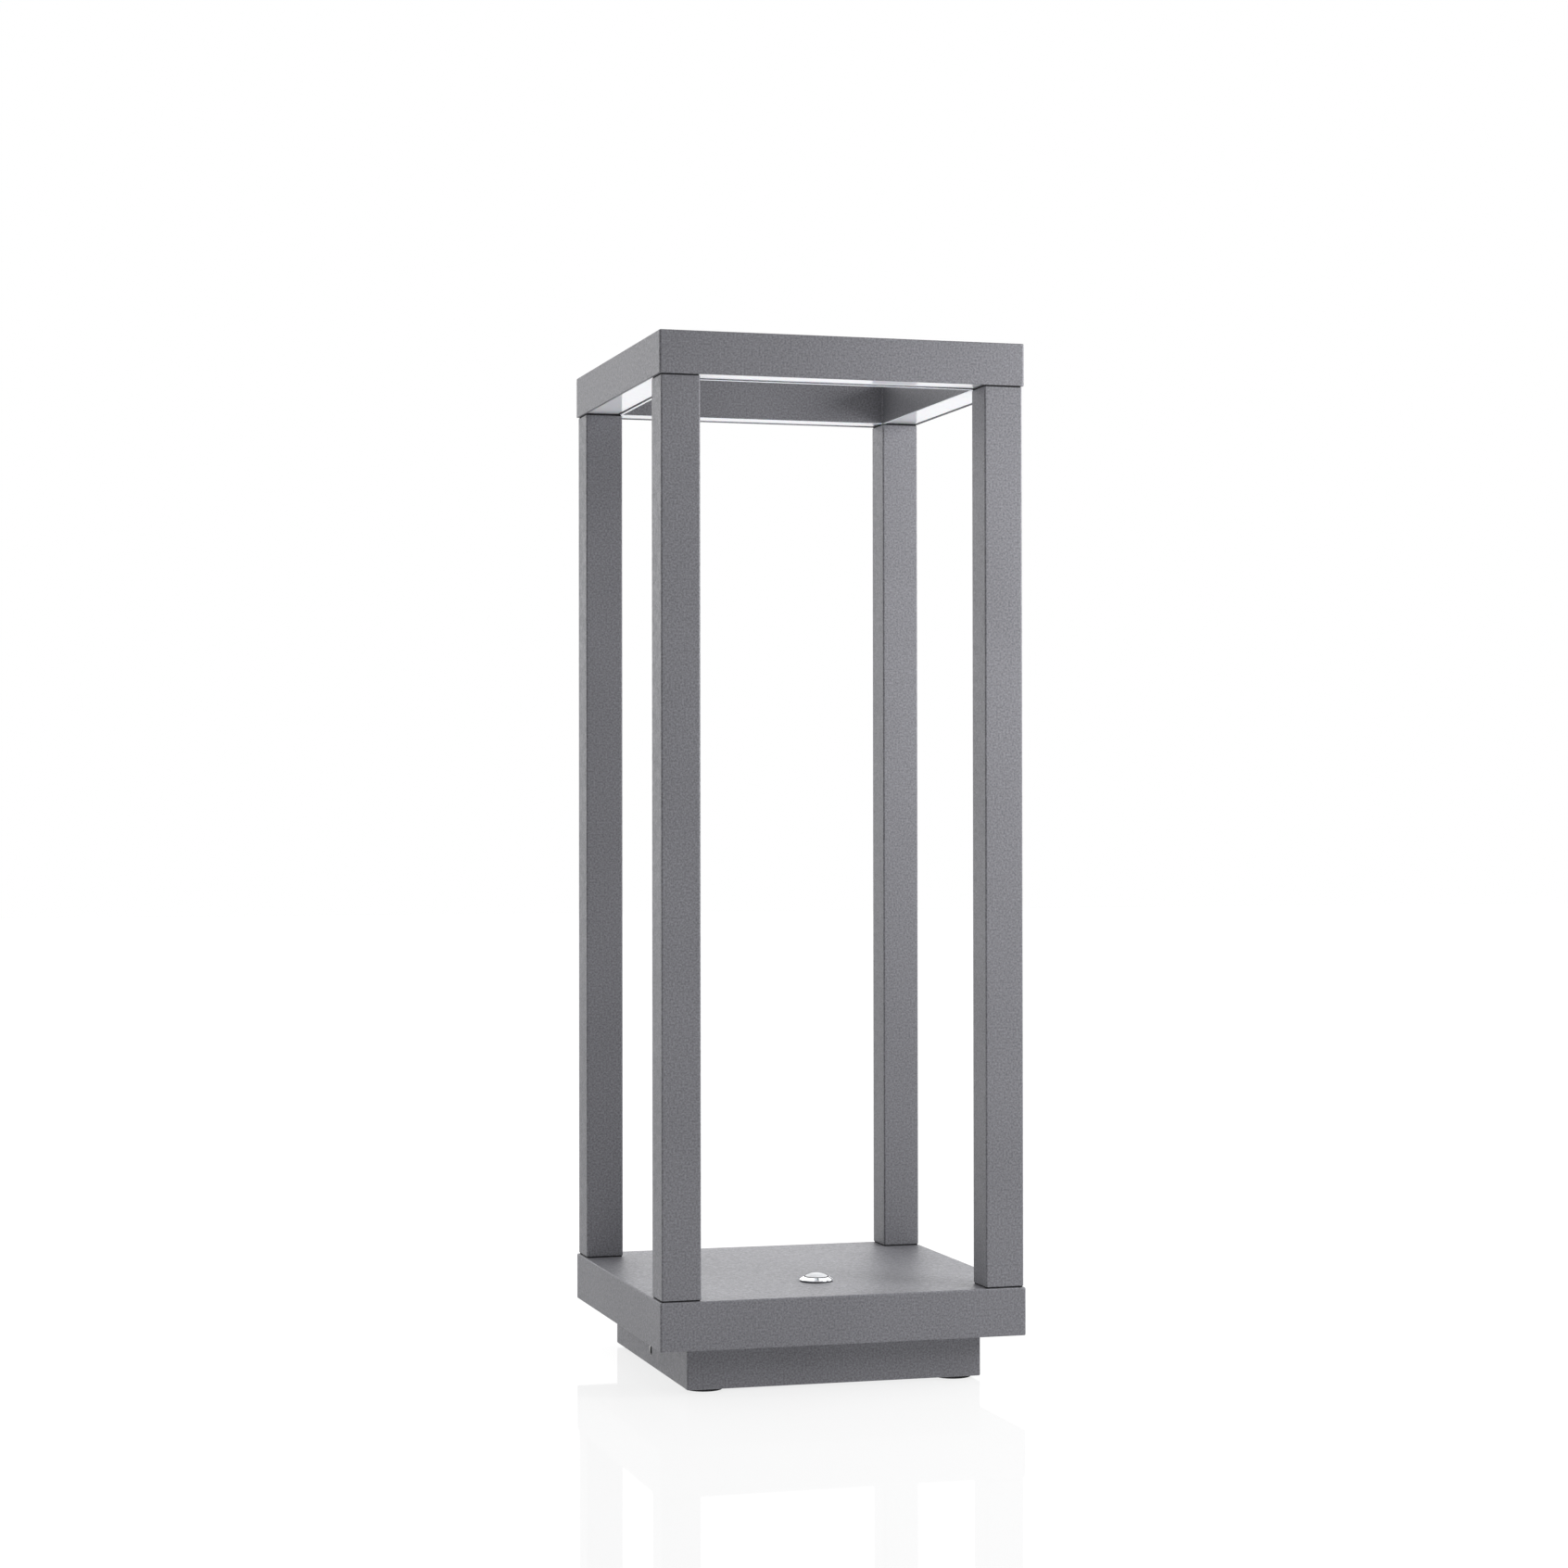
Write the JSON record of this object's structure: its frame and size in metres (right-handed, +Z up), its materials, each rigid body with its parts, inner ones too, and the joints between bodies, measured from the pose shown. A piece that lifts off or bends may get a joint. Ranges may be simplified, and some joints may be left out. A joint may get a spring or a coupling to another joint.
{
  "type": "garden lantern",
  "caption": "Free-standing square-frame lantern: slab base on a plinth with a push button, corner posts and a light ring with a downward opal diffuser.",
  "frame": {"origin": "on the ground at the centre of the square footprint, at the feet's undersides", "axes": "+Z up through the ring's centre; -Y is the front, the side the push button is nearest to; -X is the side with the charging inlet"},
  "size_m": [0.2, 0.2, 0.5525],
  "materials": {
    "powder_coat": "fine-textured anthracite powder coat, matt",
    "opal_diffuser": "glossy opal white acrylic",
    "black_rubber": "black moulded rubber, matt",
    "board_aluminium": "white-faced aluminium-core board",
    "chip_white": "light-emitting packages with phosphor windows",
    "black_plastic": "moulded black plastic",
    "bright_steel": "zinc-plated steel",
    "polished_chrome": "polished chrome plate",
    "plated_brass": "plated brass contacts",
    "cell_wrap": "shrink-wrapped cells",
    "board_green": "solder-masked circuit board",
    "lead_jacket": "soft insulated lead"
  },
  "bodies": {
    "lantern": {"base_cover": "powder_coat", "battery_cable": "lead_jacket", "battery_cells": "cell_wrap", "battery_holder": "black_plastic", "board_jumpers": "lead_jacket", "board_parts": "black_plastic", "board_screws": "bright_steel", "button_bezel": "polished_chrome", "button_cable": "lead_jacket", "button_contact_block": "black_plastic", "button_nut": "polished_chrome", "button_seal": "black_rubber", "button_spring": "bright_steel", "button_terminals": "plated_brass", "charging_pin": "plated_brass", "charging_socket": "black_plastic", "diffuser_back": "opal_diffuser", "diffuser_front": "opal_diffuser", "diffuser_left": "opal_diffuser", "diffuser_right": "opal_diffuser", "diffuser_seal_back": "black_rubber", "diffuser_seal_front": "black_rubber", "diffuser_seal_left": "black_rubber", "diffuser_seal_right": "black_rubber", "driver_board": "board_green", "foot_back_left": "black_rubber", "foot_back_right": "black_rubber", "foot_front_left": "black_rubber", "foot_front_right": "black_rubber", "holder_screws": "bright_steel", "housing_screws": "bright_steel", "housing_seal": "black_rubber", "led_board_back": "board_aluminium", "led_board_front": "board_aluminium", "led_board_left": "board_aluminium", "led_board_right": "board_aluminium", "led_cable": "lead_jacket", "led_chips": "chip_white", "led_plug": "black_plastic", "lower_housing": "powder_coat", "lower_seal_back_left": "black_rubber", "lower_seal_back_right": "black_rubber", "lower_seal_front_left": "black_rubber", "lower_seal_front_right": "black_rubber", "post_back_left": "powder_coat", "post_back_right": "powder_coat", "post_front_left": "powder_coat", "post_front_right": "powder_coat", "socket_cable": "lead_jacket", "tie_nuts": "bright_steel", "tie_rods": "bright_steel", "tie_washers": "bright_steel", "top_frame": "powder_coat", "upper_seal_back_left": "black_rubber", "upper_seal_back_right": "black_rubber", "upper_seal_front_left": "black_rubber", "upper_seal_front_right": "black_rubber"},
    "button": {"button_cap": "polished_chrome"}
  },
  "joints": [
    {"name": "button_press", "type": "slide", "parent": "lantern", "child": "button", "axis": [0, 0, -1], "range_m": [0, 0.002], "stiffness_N_per_m": 800, "springref_m": -0.0019, "deforming": ["button_spring"]}
  ]
}
